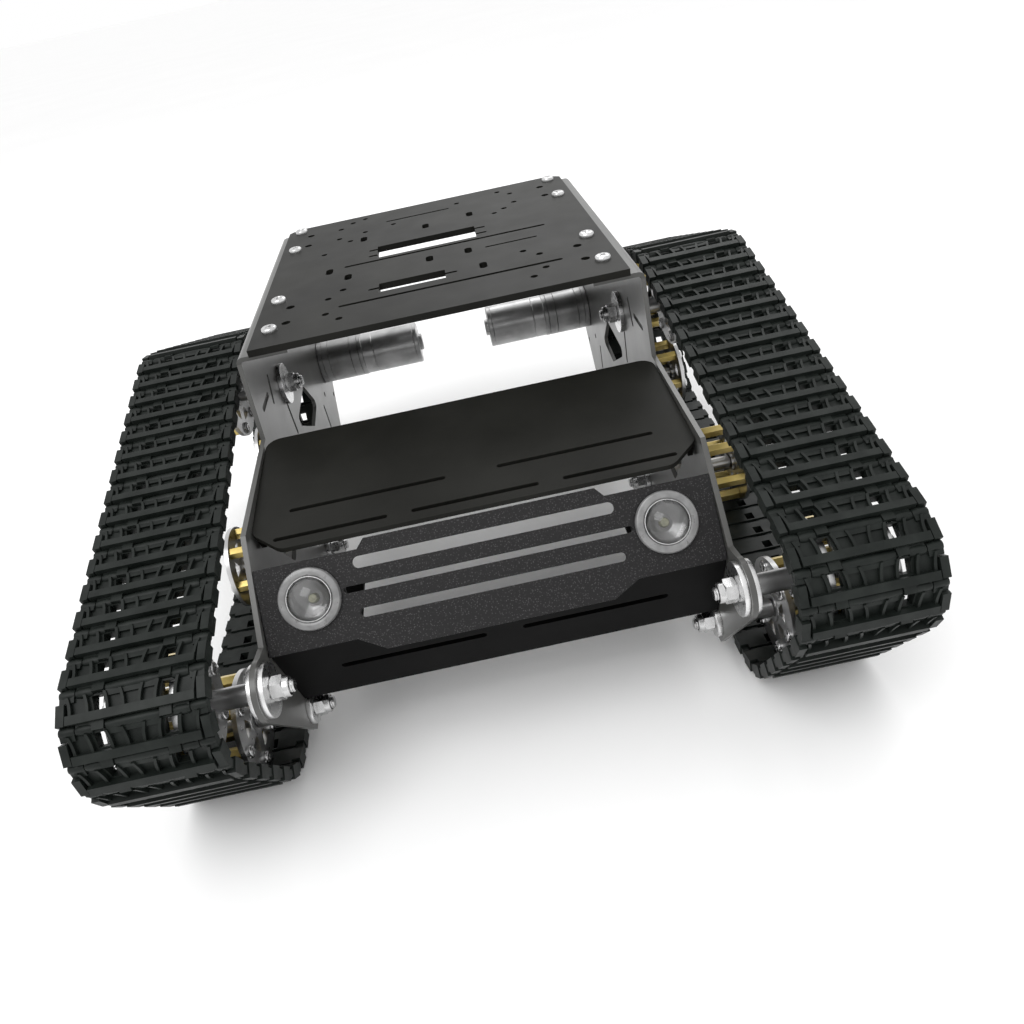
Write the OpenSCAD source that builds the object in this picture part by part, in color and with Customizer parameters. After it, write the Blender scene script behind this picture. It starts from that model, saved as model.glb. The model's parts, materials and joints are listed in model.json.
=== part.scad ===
// Tracked tank chassis: a sheet-metal hull carried on two link tracks.
// The front faces -Y, the ground is z = 0, and X is mirrored left and right.

/* [Hull] */
// Height of the deck's top face above the ground
deck_top_z = 148; // [146:1:150]
// Width over the outer faces of the two side plates
hull_w = 174; // [173:1:176]
// Thickness of the bent sheet of plates, covers and tray
sheet_t = 2; // [1.6:0.1:2]
// Width of the top deck
deck_w = 161; // [158:1:164]
// Thickness of the top deck
deck_t = 3; // [2:0.5:3]
// Front edge of the deck
deck_front_y = -24.5; // [-26:0.5:-23]
// Rear edge of the deck and of the side plates
deck_rear_y = 151.5; // [150:0.5:154]
// Width of the flanges that carry the deck
flange_w = 22; // [20:0.5:24]

/* [Nose] */
// Sideways half width of the parts that sit between the side plates
inner_half_w = 84.7; // [84:0.1:84.8]
// Length of the sloping front face
face_len = 35.5; // [34:0.5:37]
// How far the middle of the front face hangs below its sides
face_bulge = 5.5; // [3:0.5:7]
// Distance of each headlight from the middle
lamp_x = 66; // [62:1:70]
// Outer radius of a headlight bezel
lamp_r = 11.5; // [10.5:0.5:12.5]

/* [Running gear] */
// Distance of each track's middle from the hull's middle
track_x = 120; // [119:0.5:122]
// Width of a track link
link_w = 49; // [46:1:50]
// Distance between a wheel's two discs, middle to middle
disc_gap = 22; // [21:0.5:23]
// Radius of the plain wheel discs
disc_r = 20.9; // [20.5:0.1:21.2]
// Thickness of every wheel disc
disc_t = 2; // [1.5:0.5:2]
// Number of teeth on each sprocket
tooth_count = 14; // [14:1:14]
// Height of the idler axle
idler_z = 69; // [67:1:71]
// Height of the top roller axle
roller_z = 108; // [106:1:109]
// Height of the sprocket shaft
sprocket_z = 71; // [69:1:73]

/* [Hardware] */
// Radius of the axle bolts
axle_r = 2.5; // [2:0.1:2.5]
// Radius of the track pins
pin_r = 0.8; // [0.7:0.05:0.8]
// Radius of the gear motors
motor_r = 12.5; // [12:0.5:13]

/* [Hidden] */
$fn = 48;

left = -1;
right = 1;

// Track link: the pin line runs pin_rise above the inner face, pins are link_pitch apart
link_pitch = 11.95;
link_t = 6;
plate_rise = 3.4;
pin_rise = 2.6;
knuckle_r = 1.9;
wheel_gap = 0.3;
inner_face_r = disc_r + wheel_gap;
pin_path_r = norm([inner_face_r + pin_rise, link_pitch / 2]);
sprocket_pin_r = link_pitch / 2 / sin(180 / tooth_count);
sprocket_face_r = sqrt(pow(sprocket_pin_r, 2) - pow(link_pitch / 2, 2)) - pin_rise;
sprocket_root_r = sprocket_face_r - wheel_gap;
sprocket_tip_r = sprocket_face_r + 2;

// Axle positions as [y, z]
road_z = link_t + inner_face_r;
end_road_z = link_t - pin_rise + pin_path_r;
road_first_y = -110.5;
road_step = 109;
road_count = 3;
// The first and last road wheels, which the track wraps, stand a little higher
function road(i) = [
  road_first_y + (i - 1) * road_step,
  i == 1 || i == road_count ? end_road_z : road_z
];
idler = [-138.6, idler_z];
roller = [29, roller_z];
sprocket = [135.5, sprocket_z];
wheel_axles = concat([idler, roller], [for (i = [1:road_count]) road(i)]);

// Places along X, on the right side
plate_out = hull_w / 2;
plate_in = plate_out - sheet_t;
washer_t = 2;
disc_in = track_x - disc_gap / 2 - disc_t / 2;
disc_out = track_x + disc_gap / 2 - disc_t / 2;
bearing_w = 4;
bearing_r = 5;
bearing_flange_t = 0.5;
side_gap = 0.4;
tube_end = disc_in - bearing_flange_t - side_gap;
head_start = disc_out + disc_t + bearing_flange_t + side_gap;
standoff_ring_r = 17;

// Hull heights
deck_low_z = deck_top_z - deck_t;
flange_low_z = deck_low_z - sheet_t;
bend_r = sheet_t + 1;
belly_z = 18;
screw_rows = [-6.5, 28.9, 107.5, 143.1];
screw_x = 73;
screw_hole_r = 2.1;

// Nose: the face starts at face_top and slopes down and forward by face_tilt
nose_rear = [-31, 109.5];
nose_front = [-103.5, 102.5];
face_top = [-104, 100];
face_tilt = 51.6;
face_low = face_top - face_len * [cos(face_tilt), sin(face_tilt)];
tray_inset = 2.3;
glacis_top = face_low + tray_inset * [sin(face_tilt), -cos(face_tilt)];
tray_lip = [-113, 35.5];
tray_rear_y = -41.5;
lamp_down = 17.6;
lamp_hole_r = 9.5;
tray_flange_h = 9;
tray_window_half = 62;
tray_window_y = [-104, -48];
panel_hole_r = 1.6;
panel_screw_r = 1.5;
nose_screws = [[-45, 103.2], [-85, 99.4]];
tray_screws = [[-60, 42], [-100, 42]];

// ---- helpers ----
module on_side(s) {
  if (s > 0) children();
  else mirror([1, 0, 0]) children();
}

module both_sides() {
  children();
  mirror([1, 0, 0]) children();
}

// Extrudes an outline drawn in (y, z) along +X from x0
module plate_yz(x0, t) {
  translate([x0, 0, 0]) rotate([90, 0, 90]) linear_extrude(t) children();
}

module rod_x(x0, x1, r, at = [0, 0], fn = 48) {
  translate([x0, at[0], at[1]]) rotate([0, 90, 0]) cylinder(h = x1 - x0, r = r, $fn = fn);
}

module tube_x(x0, x1, r, bore, at = [0, 0], fn = 48) {
  difference() {
    rod_x(x0, x1, r, at, fn);
    rod_x(x0 - 1, x1 + 1, bore, at);
  }
}

// A straight slot with round ends from a to b
module slot2d(a, b, w) {
  d = b - a;
  translate(a) circle(d = w);
  translate(b) circle(d = w);
  translate(a) rotate(atan2(d[1], d[0])) translate([0, -w / 2]) square([norm(d), w]);
}

function ray(a) = [cos(a), sin(a)];
function turn(a) = a - 360 * floor(a / 360);

// An anticlockwise outline grown by r, with corners of a few short flats; two points make a slot
module soft_polygon(points, r) {
  n = len(points);
  flats = 6;
  // Direction of the outward normal on the edge that starts at corner i
  function normal(i) = let (d = points[(i + 1) % n] - points[i % n]) atan2(-d[0], d[1]);
  polygon([
    for (i = [0:n - 1], k = [0:flats])
      points[i] + r * ray(normal(i + n - 1) + turn(normal(i) - normal(i + n - 1)) * k / flats)
  ]);
}

module window2d(x0, x1, y0, y1) {
  translate([x0, y0]) square([x1 - x0, y1 - y0]);
}

// Local x stays X, local y runs down the slope and local z points into the hull
module face_frame() {
  translate([0, face_top[0], face_top[1]]) rotate([180 + face_tilt, 0, 0]) children();
}

module glacis_frame() {
  run = tray_lip - glacis_top;
  translate([0, glacis_top[0], glacis_top[1]]) rotate([atan2(run[1], run[0]), 0, 0]) children();
}

module nose_frame() {
  run = nose_front - nose_rear;
  translate([0, nose_rear[0], nose_rear[1]]) rotate([atan2(run[1], run[0]), 0, 0]) children();
}

// ---- deck ----
// One group of four hole pairs round a middle line, for brackets and boards
module bracket_holes2d(y) {
  for (sx = [-1, 1], sy = [-1, 1]) {
    translate([sx * 42.5, y + sy * 18]) circle(r = 1.6);
    translate([sx * 49, y + sy * 9.5]) circle(r = 1.6);
    translate([sx * 66.5, y + sy * 9.5]) circle(r = 2);
  }
}

module deck_cutouts2d() {
  bracket_holes2d(8.5);
  bracket_holes2d(122.5);
  for (p = [[36.6, 99], [18.2, 135], [-18.7, 120.3], [-34.6, 116.2], [-35.4, 144], [-55.8, 88.9]])
    translate(p) circle(r = 1.5);
  for (p = [[23.5, 107.5], [-1, 102.7], [-35, 102.7], [18, 45], [-1, 45], [-51, 57.8], [-41, 43.7],
      [23, 19]])
    slot2d(p - [0, 2.2], p + [0, 2.2], 3.6);
  window2d(-27, 24, 64.5, 83);
  for (y = [69, 78.5]) slot2d([-30.5, y], [28.5, y], 2);
  window2d(-25.5, 5.3, 13, 24);
  slot2d([-29.5, 18.5], [10, 18.5], 2);
  slot2d([-22, 128.3], [12.5, 128.3], 1.8);
  slot2d([-42.5, 60.2], [57, 60.2], 2.2);
  slot2d([27, 44.3], [51, 44.3], 1.6);
  slot2d([-42.5, 5], [56.4, 5], 2.2);
}

module top_deck() {
  half = deck_w / 2;
  corner = 5;
  color([0.16, 0.16, 0.15]) translate([0, 0, deck_low_z]) linear_extrude(deck_t) difference() {
    polygon([
      [-half, deck_front_y], [half, deck_front_y], [half, deck_rear_y - corner],
      [half - corner, deck_rear_y], [corner - half, deck_rear_y], [-half, deck_rear_y - corner]
    ]);
    deck_cutouts2d();
    for (sx = [-1, 1], y = screw_rows) translate([sx * screw_x, y]) circle(r = screw_hole_r);
  }
}

// ---- side plates ----
module side_outline() {
  lobe_r = 11.5;
  polygon([
    [deck_rear_y, flange_low_z], [deck_rear_y, 54], [118, belly_z], [-114, belly_z],
    idler + lobe_r * [cos(215), sin(215)], idler, idler + lobe_r * [cos(95), sin(95)],
    [-125.5, 77.5], [-97, 107], nose_rear + [0, 1], [-22.5, flange_low_z]
  ]);
  translate(idler) circle(r = lobe_r);
}

module side_windows() {
  soft_polygon([[62, 69], [79, 71], [66, 85], [37, 83]], 3);
  soft_polygon([[-56, 66], [-34, 70], [-40, 86], [-70, 84]], 3);
  slot2d([23, 84], [23, 99], 2.4);
  slot2d([-17, 118], [-3, 118], 2.6);
  soft_polygon([[2, 112], [8, 122]], 1.3);
  slot2d([100, 45], [100, 58], 2.6);
  slot2d([60, 118], [95, 118], 3);
  slot2d([-90, 45], [-64, 45], 3);
  slot2d([-20, 45], [14, 45], 3);
  for (p = [[113, 60], [139, 47], [70, 48], [112, 100]]) translate(p) circle(r = 1.6);
}

module side_plate(s) {
  color([0.2, 0.2, 0.19]) on_side(s) difference() {
    union() {
      plate_yz(plate_in, sheet_t) difference() {
        side_outline();
        side_windows();
        for (a = wheel_axles) translate(a) circle(r = axle_r + 0.1);
        for (p = concat(nose_screws, tray_screws)) translate(p) circle(r = panel_hole_r);
        translate(sprocket) circle(r = 4);
        for (dy = [-1, 1]) translate(sprocket + [dy * 8.5, 0]) circle(r = 1.6);
        translate([-200, deck_low_z - bend_r]) square([400, 10]);
      }
      intersection() {
        translate([0, deck_front_y + 2, 0]) rotate([-90, 0, 0])
          translate([plate_out - bend_r, bend_r - deck_low_z, 0])
            cylinder(h = deck_rear_y - deck_front_y - 2, r = bend_r);
        translate([plate_out - bend_r, -200, deck_low_z - bend_r]) cube([10, 400, 10]);
      }
      translate([plate_out - flange_w, deck_front_y + 2, flange_low_z])
        cube([flange_w - bend_r, deck_rear_y - deck_front_y - 2, sheet_t]);
    }
    translate([plate_out - bend_r, -100, deck_low_z - bend_r]) rotate([-90, 0, 0])
      cylinder(h = 300, r = bend_r - sheet_t);
    for (y = screw_rows) translate([screw_x, y, flange_low_z - 1]) cylinder(h = 4, r = screw_hole_r);
  }
}

// ---- nose, face and tray ----
module nose_cover() {
  len_down = norm(nose_front - nose_rear);
  flange_h = 10;
  color([0.07, 0.07, 0.07]) difference() {
    union() {
      nose_frame() linear_extrude(sheet_t) difference() {
        soft_polygon([
          [6 - inner_half_w, 6], [inner_half_w - 6, 6], [inner_half_w - 6, len_down - 14],
          [inner_half_w - 14, len_down - 6], [14 - inner_half_w, len_down - 6],
          [6 - inner_half_w, len_down - 14]
        ], 6);
        for (sx = [-1, 1]) {
          slot2d([sx * 11, 51.8], [sx * 70, 51.8], 2);
          slot2d([sx * 34, 67.2], [sx * 75, 67.2], 2);
        }
        slot2d([-23, 67.2], [23, 67.2], 2);
      }
      for (sx = [0, 1]) mirror([sx, 0, 0]) nose_frame()
        translate([inner_half_w - sheet_t, 8, 0]) cube([sheet_t, 50, flange_h]);
    }
    for (p = nose_screws) rod_x(-plate_out, plate_out, panel_hole_r, p);
  }
}

module front_panel() {
  half = inner_half_w;
  color([0.09, 0.09, 0.09]) difference() {
    face_frame() linear_extrude(sheet_t) difference() {
      polygon([
        [-half, 3.5], [-46, 3.5], [-43, 0], [43, 0], [46, 3.5], [half, 3.5], [half, face_len],
        [52, face_len], [42, face_len + face_bulge], [-42, face_len + face_bulge],
        [-52, face_len], [-half, face_len]
      ]);
      slot2d([-46.5, 8.2], [46.5, 8.2], 4.4);
      slot2d([-52.5, 17.4], [52.5, 17.4], 2.4);
      slot2d([-47.5, 26.6], [47.5, 26.6], 3.4);
      for (sx = [-1, 1]) translate([sx * lamp_x, lamp_down]) circle(r = lamp_hole_r);
    }
  }
}

module lower_tray() {
  glacis_len = norm(tray_lip - glacis_top);
  floor_len = tray_rear_y - tray_lip[0];
  half = inner_half_w;
  color([0.05, 0.05, 0.05]) difference() {
    union() {
      glacis_frame() linear_extrude(sheet_t) difference() {
        translate([-half, 0]) square([2 * half, glacis_len]);
        for (sx = [-1, 1]) slot2d([sx * 8.5, 17], [sx * 62, 17], 3);
      }
      translate([0, 0, tray_lip[1]]) linear_extrude(sheet_t) difference() {
        translate([-half, tray_lip[0]]) square([2 * half, floor_len]);
        window2d(-tray_window_half, tray_window_half, tray_window_y[0], tray_window_y[1]);
      }
      for (sx = [0, 1]) mirror([sx, 0, 0])
        translate([half - sheet_t, tray_lip[0] + 4, tray_lip[1]])
          cube([sheet_t, floor_len - 4, tray_flange_h]);
    }
    for (p = tray_screws) rod_x(-plate_out, plate_out, panel_hole_r, p);
  }
}

module panel_screws() {
  head_r = 2.8;
  color("silver") both_sides() for (p = concat(nose_screws, tray_screws)) {
    rod_x(plate_out, plate_out + 1.8, head_r, p);
    rod_x(plate_in - 5, plate_out + 0.5, panel_screw_r, p);
  }
}

// ---- gear motors ----
gearbox_in = 57;
can_in = 22;
shaft_r = 2;
shaft_start = 70;
boss_r = 3.5;

module gearboxes() {
  color([0.45, 0.45, 0.44]) both_sides() difference() {
    union() {
      rod_x(gearbox_in, plate_in, motor_r, sprocket);
      rod_x(plate_in - 1, plate_out + 0.6, boss_r, sprocket);
    }
    rod_x(shaft_start - 1, plate_out + 2, shaft_r + 0.06, sprocket);
    for (dy = [-1, 1]) rod_x(plate_in - 6, plate_in + 1, 1.5, sprocket + [dy * 8.5, 0]);
  }
}

module motor_cans() {
  color([0.55, 0.55, 0.54]) both_sides() {
    rod_x(can_in, gearbox_in, motor_r - 0.3, sprocket);
    rod_x(can_in - 2, can_in + 1, 5, sprocket);
  }
}

module motor_screws() {
  color("silver") both_sides() for (dy = [-1, 1]) {
    rod_x(plate_out, plate_out + 1.8, 2.8, sprocket + [dy * 8.5, 0]);
    rod_x(plate_in - 5, plate_out + 0.5, 1.45, sprocket + [dy * 8.5, 0]);
  }
}

// ---- deck fasteners ----
module deck_screws() {
  color("silver") for (sx = [-1, 1], y = screw_rows) translate([sx * screw_x, y, 0]) {
    translate([0, 0, deck_top_z]) cylinder(h = 2, r = 3.5);
    translate([0, 0, flange_low_z - 5]) cylinder(h = deck_t + sheet_t + 5.5, r = 1.95);
  }
}

module deck_nuts() {
  color("silver") for (sx = [-1, 1], y = screw_rows)
    translate([sx * screw_x, y, flange_low_z - 3.2]) difference() {
      cylinder(h = 3.2, r = 4.04, $fn = 6);
      translate([0, 0, -1]) cylinder(h = 6, r = 2);
    }
}

// ---- wheel axles ----
big_washer_r = 10;
small_washer_r = 7.2;
function washer_r(a) = a[1] > end_road_z + 1 ? big_washer_r : small_washer_r;

module axle_bolts() {
  color("silver") both_sides() for (a = wheel_axles) {
    rod_x(head_start, head_start + 3.5, 4.6, a, 6);
    rod_x(plate_in - washer_t - 8, head_start + 0.5, axle_r, a);
  }
}

module axle_nuts() {
  color("silver") both_sides() for (a = wheel_axles) difference() {
    union() {
      rod_x(plate_in - washer_t - 4.5, plate_in - washer_t, 4.6, a, 6);
      rod_x(plate_in - washer_t - 6.5, plate_in - washer_t - 4, 3.8, a);
    }
    rod_x(0, plate_in, axle_r + 0.05, a);
  }
}

module plate_washers() {
  color("gainsboro") both_sides() for (a = wheel_axles) {
    tube_x(plate_in - washer_t, plate_in, washer_r(a), axle_r + 0.1, a);
    tube_x(plate_out, plate_out + washer_t, washer_r(a), axle_r + 0.1, a);
  }
}

module axle_tubes() {
  color("darkgray") both_sides() for (a = wheel_axles) {
    tube_x(plate_out + washer_t, tube_end, 4, axle_r + 0.1, a);
    tube_x(disc_in + bearing_w + side_gap, disc_out + disc_t - bearing_w - side_gap, 3.5,
      axle_r + 0.1, a);
  }
}

// ---- wheels ----
// Six windows leave six spokes; the standoffs bolt to the rim at the spokes
module disc_windows2d(spoke_w, r0, r1) {
  difference() {
    circle(r = r1);
    circle(r = r0);
    for (k = [0:2]) rotate(k * 60) translate([-30, -spoke_w / 2]) square([60, spoke_w]);
  }
}

module wheel_disc2d() {
  difference() {
    circle(r = disc_r);
    disc_windows2d(5.5, 7.5, 13);
    circle(r = bearing_r);
    for (k = [0:5]) rotate(k * 60) translate([standoff_ring_r, 0]) circle(r = 1.5);
  }
}

module bearing(x0, flange_x) {
  tube_x(x0, x0 + bearing_w, bearing_r - 0.02, axle_r + 0.05);
  tube_x(flange_x, flange_x + bearing_flange_t, bearing_r + 1, axle_r + 0.05);
}

module wheel(s, axle) {
  color("silver") on_side(s) translate([0, axle[0], axle[1]]) {
    for (x = [disc_in, disc_out]) plate_yz(x, disc_t) wheel_disc2d();
    bearing(disc_in, disc_in - bearing_flange_t);
    bearing(disc_out + disc_t - bearing_w, disc_out + disc_t);
  }
}

module standoffs(s, axle, ring_r = standoff_ring_r) {
  color([0.8, 0.68, 0.3]) on_side(s) translate([0, axle[0], axle[1]])
    for (k = [0:5]) rotate([k * 60, 0, 0]) tube_x(disc_in + disc_t, disc_out, 3.1, 1.5, [ring_r, 0], 6);
}

// ---- sprockets ----
hub_r = 9;
hub_start = 93;
tooth_turn = 360 / tooth_count;

module sprocket_disc2d() {
  difference() {
    union() {
      circle(r = sprocket_root_r);
      for (k = [0:tooth_count - 1]) rotate(k * tooth_turn) polygon([
        [sprocket_root_r - 2, -3], [sprocket_root_r, -2.6], [sprocket_tip_r, -1.2],
        [sprocket_tip_r, 1.2], [sprocket_root_r, 2.6], [sprocket_root_r - 2, 3]
      ]);
    }
    disc_windows2d(6.5, 10, 15);
    circle(r = 3);
    for (k = [0:5]) rotate(k * 60) translate([standoff_ring_r + 2, 0]) circle(r = 1.5);
  }
}

module sprocket_wheel(s) {
  color("silver") on_side(s) translate([0, sprocket[0], sprocket[1]])
    for (x = [disc_in, disc_out]) plate_yz(x, disc_t) sprocket_disc2d();
}

module sprocket_hub(s) {
  color("darkgray") on_side(s)
    difference() {
      union() {
        rod_x(hub_start, disc_in, hub_r, sprocket);
        rod_x(disc_in - 1, disc_in + disc_t, 2.98, sprocket);
      }
      rod_x(hub_start - 1, disc_in + disc_t + 1, shaft_r + 0.03, sprocket);
      translate([hub_start + 7, sprocket[0], sprocket[1]]) cylinder(h = hub_r + 1, r = 1.5);
    }
}

module output_shaft(s) {
  color("silver") on_side(s) rod_x(shaft_start, disc_in + disc_t, shaft_r, sprocket);
}

// ---- headlights ----
module at_lamps() {
  face_frame() for (sx = [-1, 1]) translate([sx * lamp_x, lamp_down, 0]) children();
}

module lamp_bezels() {
  color([0.7, 0.7, 0.7]) at_lamps() difference() {
    union() {
      translate([0, 0, -2.4]) cylinder(h = 2.4, r = lamp_r);
      translate([0, 0, -1]) cylinder(h = 9, r = lamp_hole_r - 0.1);
    }
    translate([0, 0, -5]) cylinder(h = 20, r = 8.3);
  }
}

module lamp_nuts() {
  color([0.15, 0.15, 0.15]) at_lamps() translate([0, 0, sheet_t]) difference() {
    cylinder(h = 3, r = 12.5);
    translate([0, 0, -1]) cylinder(h = 6, r = lamp_hole_r);
  }
}

module lamp_lenses() {
  ball_r = 10.5;
  color([0.85, 0.87, 0.88, 0.5]) at_lamps() intersection() {
    translate([0, 0, ball_r - 4.6]) sphere(r = ball_r, $fn = 64);
    translate([0, 0, -6]) cylinder(h = 7.5, r = 8.2);
  }
}

module lamp_boards() {
  color([0.85, 0.85, 0.6]) at_lamps() {
    translate([0, 0, 4.5]) cylinder(h = 1.6, r = 8.2);
    translate([0, 0, 2.5]) cylinder(h = 2.5, r = 2.6);
  }
}

// ---- tracks ----
// The pin path wraps these circles in turn, anticlockwise in (y, z): [y, z, radius]
belt = [
  [road(1)[0], road(1)[1], pin_path_r], [road(road_count)[0], road(road_count)[1], pin_path_r],
  [sprocket[0], sprocket[1], sprocket_pin_r], [roller[0], roller[1], pin_path_r],
  [idler[0], idler[1], pin_path_r]
];
belt_n = len(belt);
function belt_at(i) = belt[(i + belt_n) % belt_n];
function belt_step(i) = [belt_at(i + 1)[0] - belt_at(i)[0], belt_at(i + 1)[1] - belt_at(i)[1]];
// Direction of the outward normal on the straight run after circle i
function run_angle(i) =
  atan2(belt_step(i)[1], belt_step(i)[0])
  - acos((belt_at(i)[2] - belt_at(i + 1)[2]) / norm(belt_step(i)));
function run_length(i) =
  sqrt(pow(norm(belt_step(i)), 2) - pow(belt_at(i)[2] - belt_at(i + 1)[2], 2));
function arc_angle(i) = turn(run_angle(i) - run_angle(i - 1));
function arc_length(i) = belt_at(i)[2] * arc_angle(i) * PI / 180;
function start_of(i) = i == 0 ? 0 : start_of(i - 1) + arc_length(i - 1) + run_length(i - 1);
path_length = start_of(belt_n);
link_count = round(path_length / link_pitch);
pin_step = path_length / link_count;
function on_circle(i, a) = [belt_at(i)[0], belt_at(i)[1]] + belt_at(i)[2] * ray(a);
function circle_of(s, i = 0) = i == belt_n - 1 || s < start_of(i + 1) ? i : circle_of(s, i + 1);
function point_after(i, s) =
  s < arc_length(i)
    ? on_circle(i, run_angle(i - 1) + s / belt_at(i)[2] * 180 / PI)
    : on_circle(i, run_angle(i)) + (s - arc_length(i)) * ray(run_angle(i) + 90);
function path_point(s) = let (i = circle_of(s)) point_after(i, s - start_of(i));
pins = [for (k = [0:link_count - 1]) path_point(k * pin_step)];

// Bands across the link, measured from its middle: front and rear knuckles alternate
front_bands = [[-18.7, -13.2], [13.2, 18.7]];
rear_bands = [[-link_w / 2, -19], [-8.8, 8.8], [19, link_w / 2]];
core_half = 4.9;

module across(band, grow = 0) {
  translate([band[0] - grow, 0, 0]) rotate([90, 0, 90])
    linear_extrude(band[1] - band[0] + 2 * grow) children();
}

// One knuckle outline: an arm and a round end at the pin, on side d of the link
module knuckle2d(d) {
  translate([d * link_pitch / 2, pin_rise]) circle(r = knuckle_r);
  translate([d > 0 ? 3 : -link_pitch / 2, pin_rise - knuckle_r])
    square([link_pitch / 2 - 3, 2 * knuckle_r]);
}

// Room for the next link's round end to turn in
module knuckle_room2d(d) {
  translate([d * link_pitch / 2, pin_rise]) circle(r = knuckle_r + 0.35);
}

module link_body() {
  rib_start = 1.3;
  rib_end = 4.3;
  across([-link_w / 2, link_w / 2]) {
    translate([-core_half, 0]) square([2 * core_half, plate_rise]);
    translate([rib_start, plate_rise - 0.5]) square([rib_end - rib_start, link_t - plate_rise + 0.5]);
  }
}

// A link lies along +Y with its inner face on z = 0 and its tread upwards
module track_link() {
  hole_w = 4;
  groove_w = 3.4;
  groove_depth = 2.4;
  difference() {
    union() {
      difference() {
        link_body();
        for (b = rear_bands) across(b, 0.3) knuckle_room2d(1);
        for (b = front_bands) across(b, 0.3) knuckle_room2d(-1);
      }
      for (b = front_bands) across(b) knuckle2d(1);
      for (b = rear_bands) across(b) knuckle2d(-1);
    }
    for (d = [-1, 1]) translate([-link_w, d * link_pitch / 2, pin_rise]) rotate([0, 90, 0])
      cylinder(h = 2 * link_w, r = pin_r + 0.1);
    for (sx = [-1, 1]) {
      translate([sx * disc_gap / 2 - hole_w / 2, -4.2, -1]) cube([hole_w, 5, link_t + 2]);
      translate([sx * disc_gap / 2 - groove_w / 2, -10, -1]) cube([groove_w, 20, groove_depth + 1]);
    }
  }
}

module track_links(s) {
  color([0.08, 0.09, 0.09]) on_side(s) for (k = [0:link_count - 1]) {
    a = pins[k];
    b = pins[(k + 1) % link_count];
    translate([track_x, (a[0] + b[0]) / 2, (a[1] + b[1]) / 2])
      rotate([atan2(b[1] - a[1], b[0] - a[0]), 0, 0]) mirror([0, 0, 1])
        translate([0, 0, -pin_rise]) track_link();
  }
}

module track_pins() {
  color("dimgray") both_sides() for (p = pins)
    rod_x(track_x - link_w / 2 + 0.5, track_x + link_w / 2 - 0.5, pin_r, p, 24);
}

top_deck();
side_plate(left);  // left_side_plate
side_plate(right);  // right_side_plate
nose_cover();
front_panel();
lower_tray();
gearboxes();
motor_cans();
motor_screws();
deck_screws();
deck_nuts();
panel_screws();
axle_bolts();
axle_nuts();
plate_washers();
axle_tubes();
lamp_bezels();
lamp_nuts();
lamp_lenses();
lamp_boards();
track_links(left);  // left_track_links
track_links(right);  // right_track_links
track_pins();
wheel(left, idler);  // left_idler_wheel
standoffs(left, idler);  // left_idler_standoffs
wheel(right, idler);  // right_idler_wheel
standoffs(right, idler);  // right_idler_standoffs
wheel(left, roller);  // left_roller_wheel
standoffs(left, roller);  // left_roller_standoffs
wheel(right, roller);  // right_roller_wheel
standoffs(right, roller);  // right_roller_standoffs
wheel(left, road(1));  // left_road_wheel_1
wheel(left, road(2));  // left_road_wheel_2
wheel(left, road(3));  // left_road_wheel_3
standoffs(left, road(1));  // left_road_standoffs_1
standoffs(left, road(2));  // left_road_standoffs_2
standoffs(left, road(3));  // left_road_standoffs_3
wheel(right, road(1));  // right_road_wheel_1
wheel(right, road(2));  // right_road_wheel_2
wheel(right, road(3));  // right_road_wheel_3
standoffs(right, road(1));  // right_road_standoffs_1
standoffs(right, road(2));  // right_road_standoffs_2
standoffs(right, road(3));  // right_road_standoffs_3
sprocket_wheel(left);  // left_sprocket
standoffs(left, sprocket, standoff_ring_r + 2);  // left_sprocket_standoffs
sprocket_hub(left);  // left_sprocket_hub
output_shaft(left);  // left_output_shaft
sprocket_wheel(right);  // right_sprocket
standoffs(right, sprocket, standoff_ring_r + 2);  // right_sprocket_standoffs
sprocket_hub(right);  // right_sprocket_hub
output_shaft(right);  // right_output_shaft
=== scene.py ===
"""Looks for the tracked tank chassis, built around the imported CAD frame. Units are metres."""
import json
import math

import bmesh
import bpy
from mathutils import Matrix, Vector

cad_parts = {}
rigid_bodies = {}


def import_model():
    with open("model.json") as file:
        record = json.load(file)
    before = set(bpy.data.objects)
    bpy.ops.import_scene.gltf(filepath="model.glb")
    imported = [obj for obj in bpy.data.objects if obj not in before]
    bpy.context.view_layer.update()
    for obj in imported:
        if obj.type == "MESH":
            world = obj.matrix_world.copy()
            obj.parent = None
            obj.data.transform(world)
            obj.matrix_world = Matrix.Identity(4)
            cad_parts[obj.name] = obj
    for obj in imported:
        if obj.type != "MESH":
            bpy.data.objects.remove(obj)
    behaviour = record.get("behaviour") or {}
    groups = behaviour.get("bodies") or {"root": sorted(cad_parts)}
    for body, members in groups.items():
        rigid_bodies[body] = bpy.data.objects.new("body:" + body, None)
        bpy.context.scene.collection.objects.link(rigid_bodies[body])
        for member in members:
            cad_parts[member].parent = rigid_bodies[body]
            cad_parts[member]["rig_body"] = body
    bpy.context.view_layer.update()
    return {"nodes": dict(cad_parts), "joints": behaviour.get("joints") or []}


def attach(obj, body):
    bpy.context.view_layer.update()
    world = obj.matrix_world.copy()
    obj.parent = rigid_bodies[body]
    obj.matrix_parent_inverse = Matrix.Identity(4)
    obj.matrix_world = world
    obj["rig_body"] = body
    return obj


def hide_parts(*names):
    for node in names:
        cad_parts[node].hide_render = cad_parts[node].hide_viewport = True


MM = 0.001
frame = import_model()
NODES = frame["nodes"]
JOINTS = {joint["name"]: joint for joint in frame["joints"]}
SIDES = {"left": -1, "right": 1}
WHEELS = ("idler", "roller", "road_1", "road_2", "road_3")


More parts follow.
